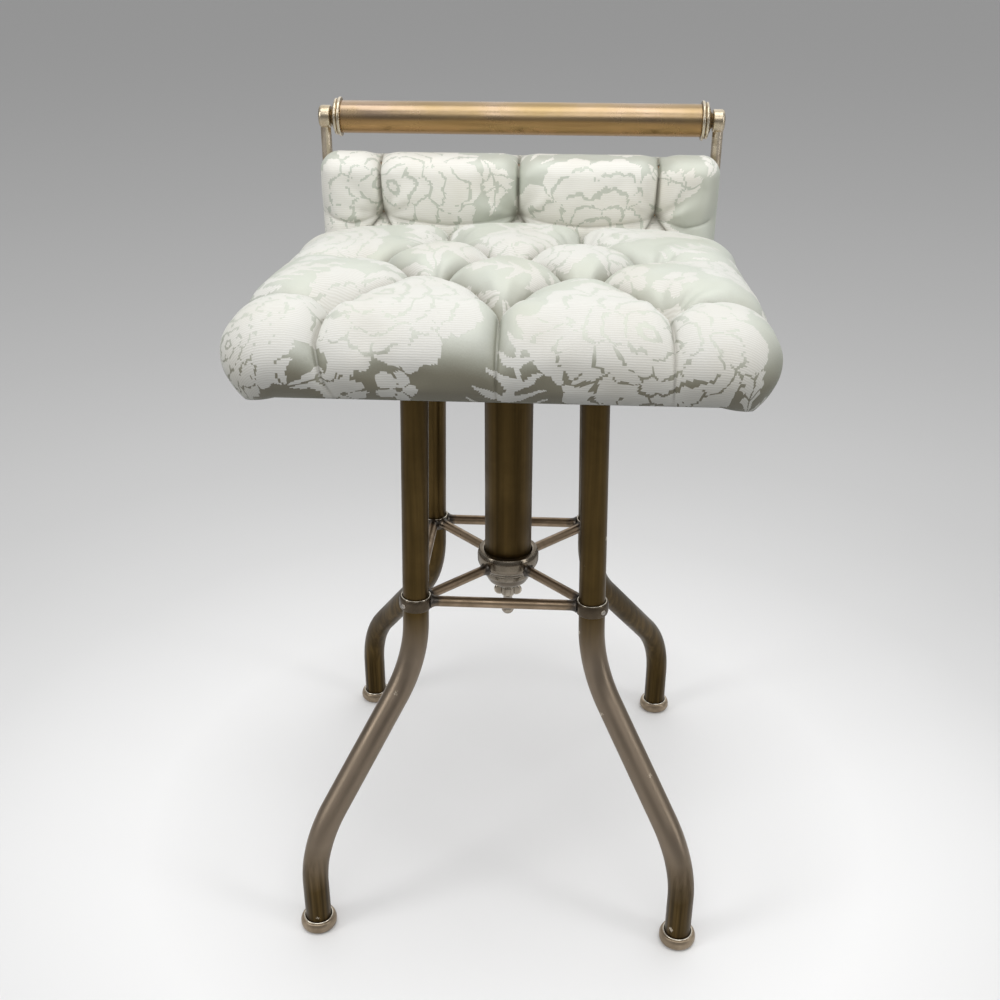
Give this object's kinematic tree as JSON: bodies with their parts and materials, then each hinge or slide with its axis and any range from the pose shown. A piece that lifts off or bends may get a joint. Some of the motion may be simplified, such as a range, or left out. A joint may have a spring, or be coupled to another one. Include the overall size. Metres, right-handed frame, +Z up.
{
  "type": "piano stool",
  "caption": "Revolving stool on four bent brass tube legs, with a screw-raised tufted seat, a low padded back and a round brass back rail.",
  "frame": {"origin": "on the floor straight below the middle of the column", "axes": "+Z up, -Y towards the front of the seat, +X to the right seen from the front"},
  "size_m": [0.382, 0.3929, 0.6497],
  "materials": {
    "dark_brass": "dark olive-brown patina, satin",
    "rod_brass": "rubbed brass with grey tarnish, satin",
    "ring_brass": "rubbed brass, bright at the edges",
    "rail_brass": "aged polished brass with brown streaks",
    "iron": "blackened, matte",
    "steel": "dull turned steel",
    "beech": "bare, aged",
    "damask": "satin sage ground with woven ivory flowers"
  },
  "bodies": {
    "base": {"leg_front_left": "dark_brass", "foot_ring_front_left": "ring_brass", "collar_front_left": "ring_brass", "collar_pin_front_left": "steel", "brace_front_left": "rod_brass", "leg_front_right": "dark_brass", "foot_ring_front_right": "ring_brass", "collar_front_right": "ring_brass", "collar_pin_front_right": "steel", "brace_front_right": "rod_brass", "leg_back_right": "dark_brass", "foot_ring_back_right": "ring_brass", "collar_back_right": "ring_brass", "collar_pin_back_right": "steel", "brace_back_right": "rod_brass", "leg_back_left": "dark_brass", "foot_ring_back_left": "ring_brass", "collar_back_left": "ring_brass", "collar_pin_back_left": "steel", "brace_back_left": "rod_brass", "stretcher_front": "rod_brass", "stretcher_right": "rod_brass", "stretcher_back": "rod_brass", "stretcher_left": "rod_brass", "column": "dark_brass", "hub": "dark_brass", "ball_end": "dark_brass", "stud": "steel", "top_spider": "iron", "screw_nut": "iron"},
    "spindle_guide": {"spindle_guide": "iron"},
    "seat": {"spindle": "steel", "seat_plate": "iron", "plate_screw_1": "steel", "plate_screw_2": "steel", "plate_screw_3": "steel", "plate_screw_4": "steel", "seat_board": "beech", "seat_cushion": "damask", "back_board": "beech", "back_pad": "damask", "back_screw_1": "steel", "back_screw_2": "steel", "back_screw_3": "steel", "post_left": "rail_brass", "post_right": "rail_brass", "post_screw_1": "steel", "post_screw_2": "steel", "post_screw_3": "steel", "post_screw_4": "steel", "rail": "rail_brass", "rail_cap_left": "rail_brass", "rail_cap_right": "rail_brass", "rail_boss_left": "rail_brass", "rail_boss_right": "rail_brass"},
    "cup": {"cup": "dark_brass"},
    "wing_nut": {"wing_nut": "dark_brass"}
  },
  "joints": [
    {"name": "seat_rise", "type": "slide", "parent": "base", "child": "spindle_guide", "axis": [0, 0, 1], "range_m": [0, 0.108]},
    {"name": "seat_turn", "type": "hinge", "parent": "spindle_guide", "child": "seat", "pos_m": [0, 0, 0.34], "axis": [0, 0, 1], "range_deg": [0, 6480]},
    {"name": "cup_drop", "type": "slide", "parent": "base", "child": "cup", "axis": [0, 0, 1], "range_m": [-0.008, 0]},
    {"name": "wing_nut_turn", "type": "hinge", "parent": "cup", "child": "wing_nut", "pos_m": [0, 0, 0.247], "axis": [0, 0, 1], "range_deg": [-1920, 0]}
  ],
  "couplings": [
    {"joint": "seat_rise", "follows": "seat_turn", "m_per_rad": 0.00095483},
    {"joint": "wing_nut_turn", "follows": "cup_drop", "rad_per_m": 4188.4}
  ]
}
